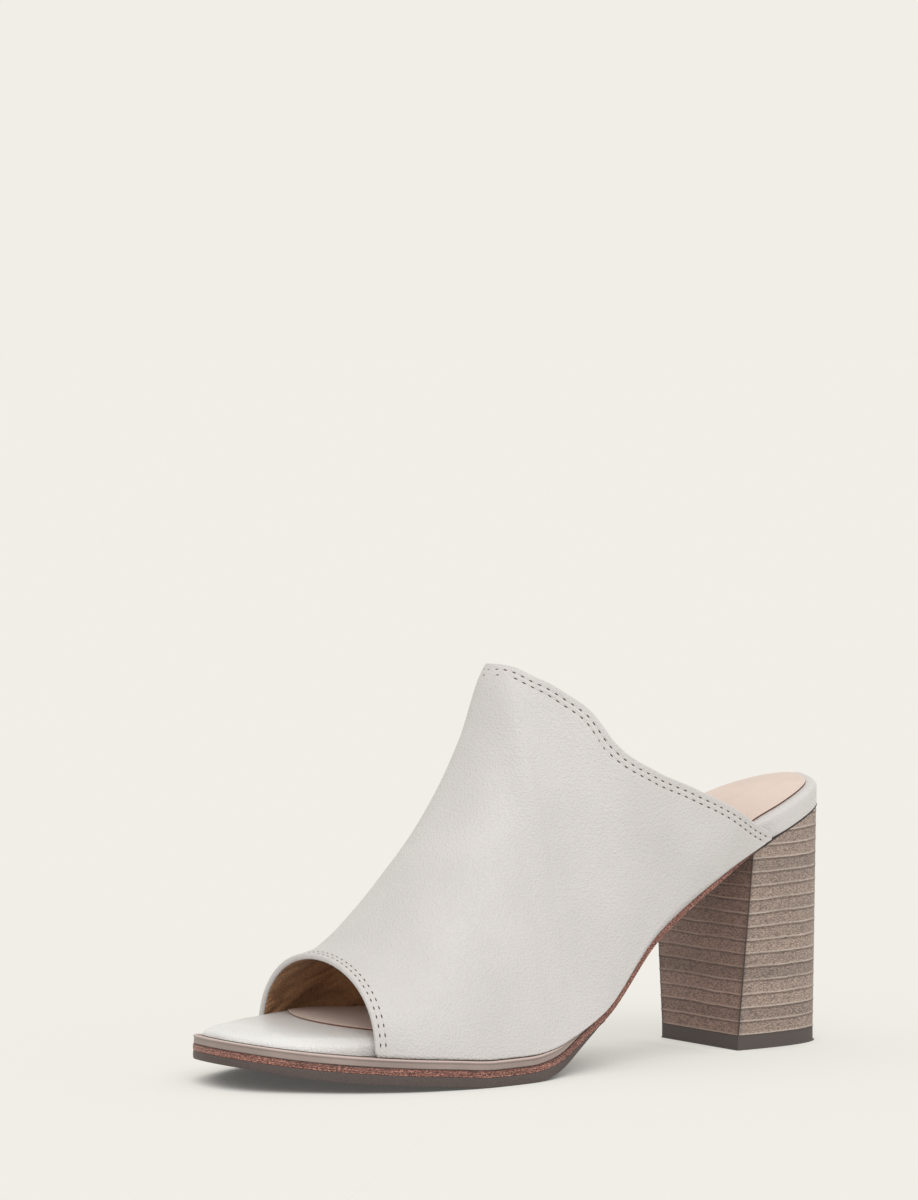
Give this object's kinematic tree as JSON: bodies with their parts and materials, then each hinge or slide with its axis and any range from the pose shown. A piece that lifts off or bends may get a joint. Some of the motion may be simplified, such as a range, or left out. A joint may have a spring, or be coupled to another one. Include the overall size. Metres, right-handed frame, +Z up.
{
  "type": "open-toe mule with block heel",
  "caption": "Left high-vamp mule, open at toe and heel, with a standing collar cut down in an S to low quarters, on a welted sole and a high stacked block heel",
  "frame": {"origin": "middle of the bounding box's bottom, on the ground under the waist", "axes": "+X from the heel to the toe, +Y to the outer side of the foot, +Z up from the ground"},
  "size_m": [0.2208, 0.086, 0.1228],
  "materials": {
    "rubber": "matte",
    "sole_leather": "satin",
    "welt_leather": "matte",
    "stacked_leather": "satin",
    "lining_leather": "matte",
    "white_leather": "satin"
  },
  "bodies": {
    "root": {"outsole": "rubber", "midsole": "sole_leather", "welt": "welt_leather", "heel": "stacked_leather", "top_piece": "rubber", "footbed": "white_leather", "sock_lining": "lining_leather", "upper": "white_leather"}
  },
  "joints": []
}
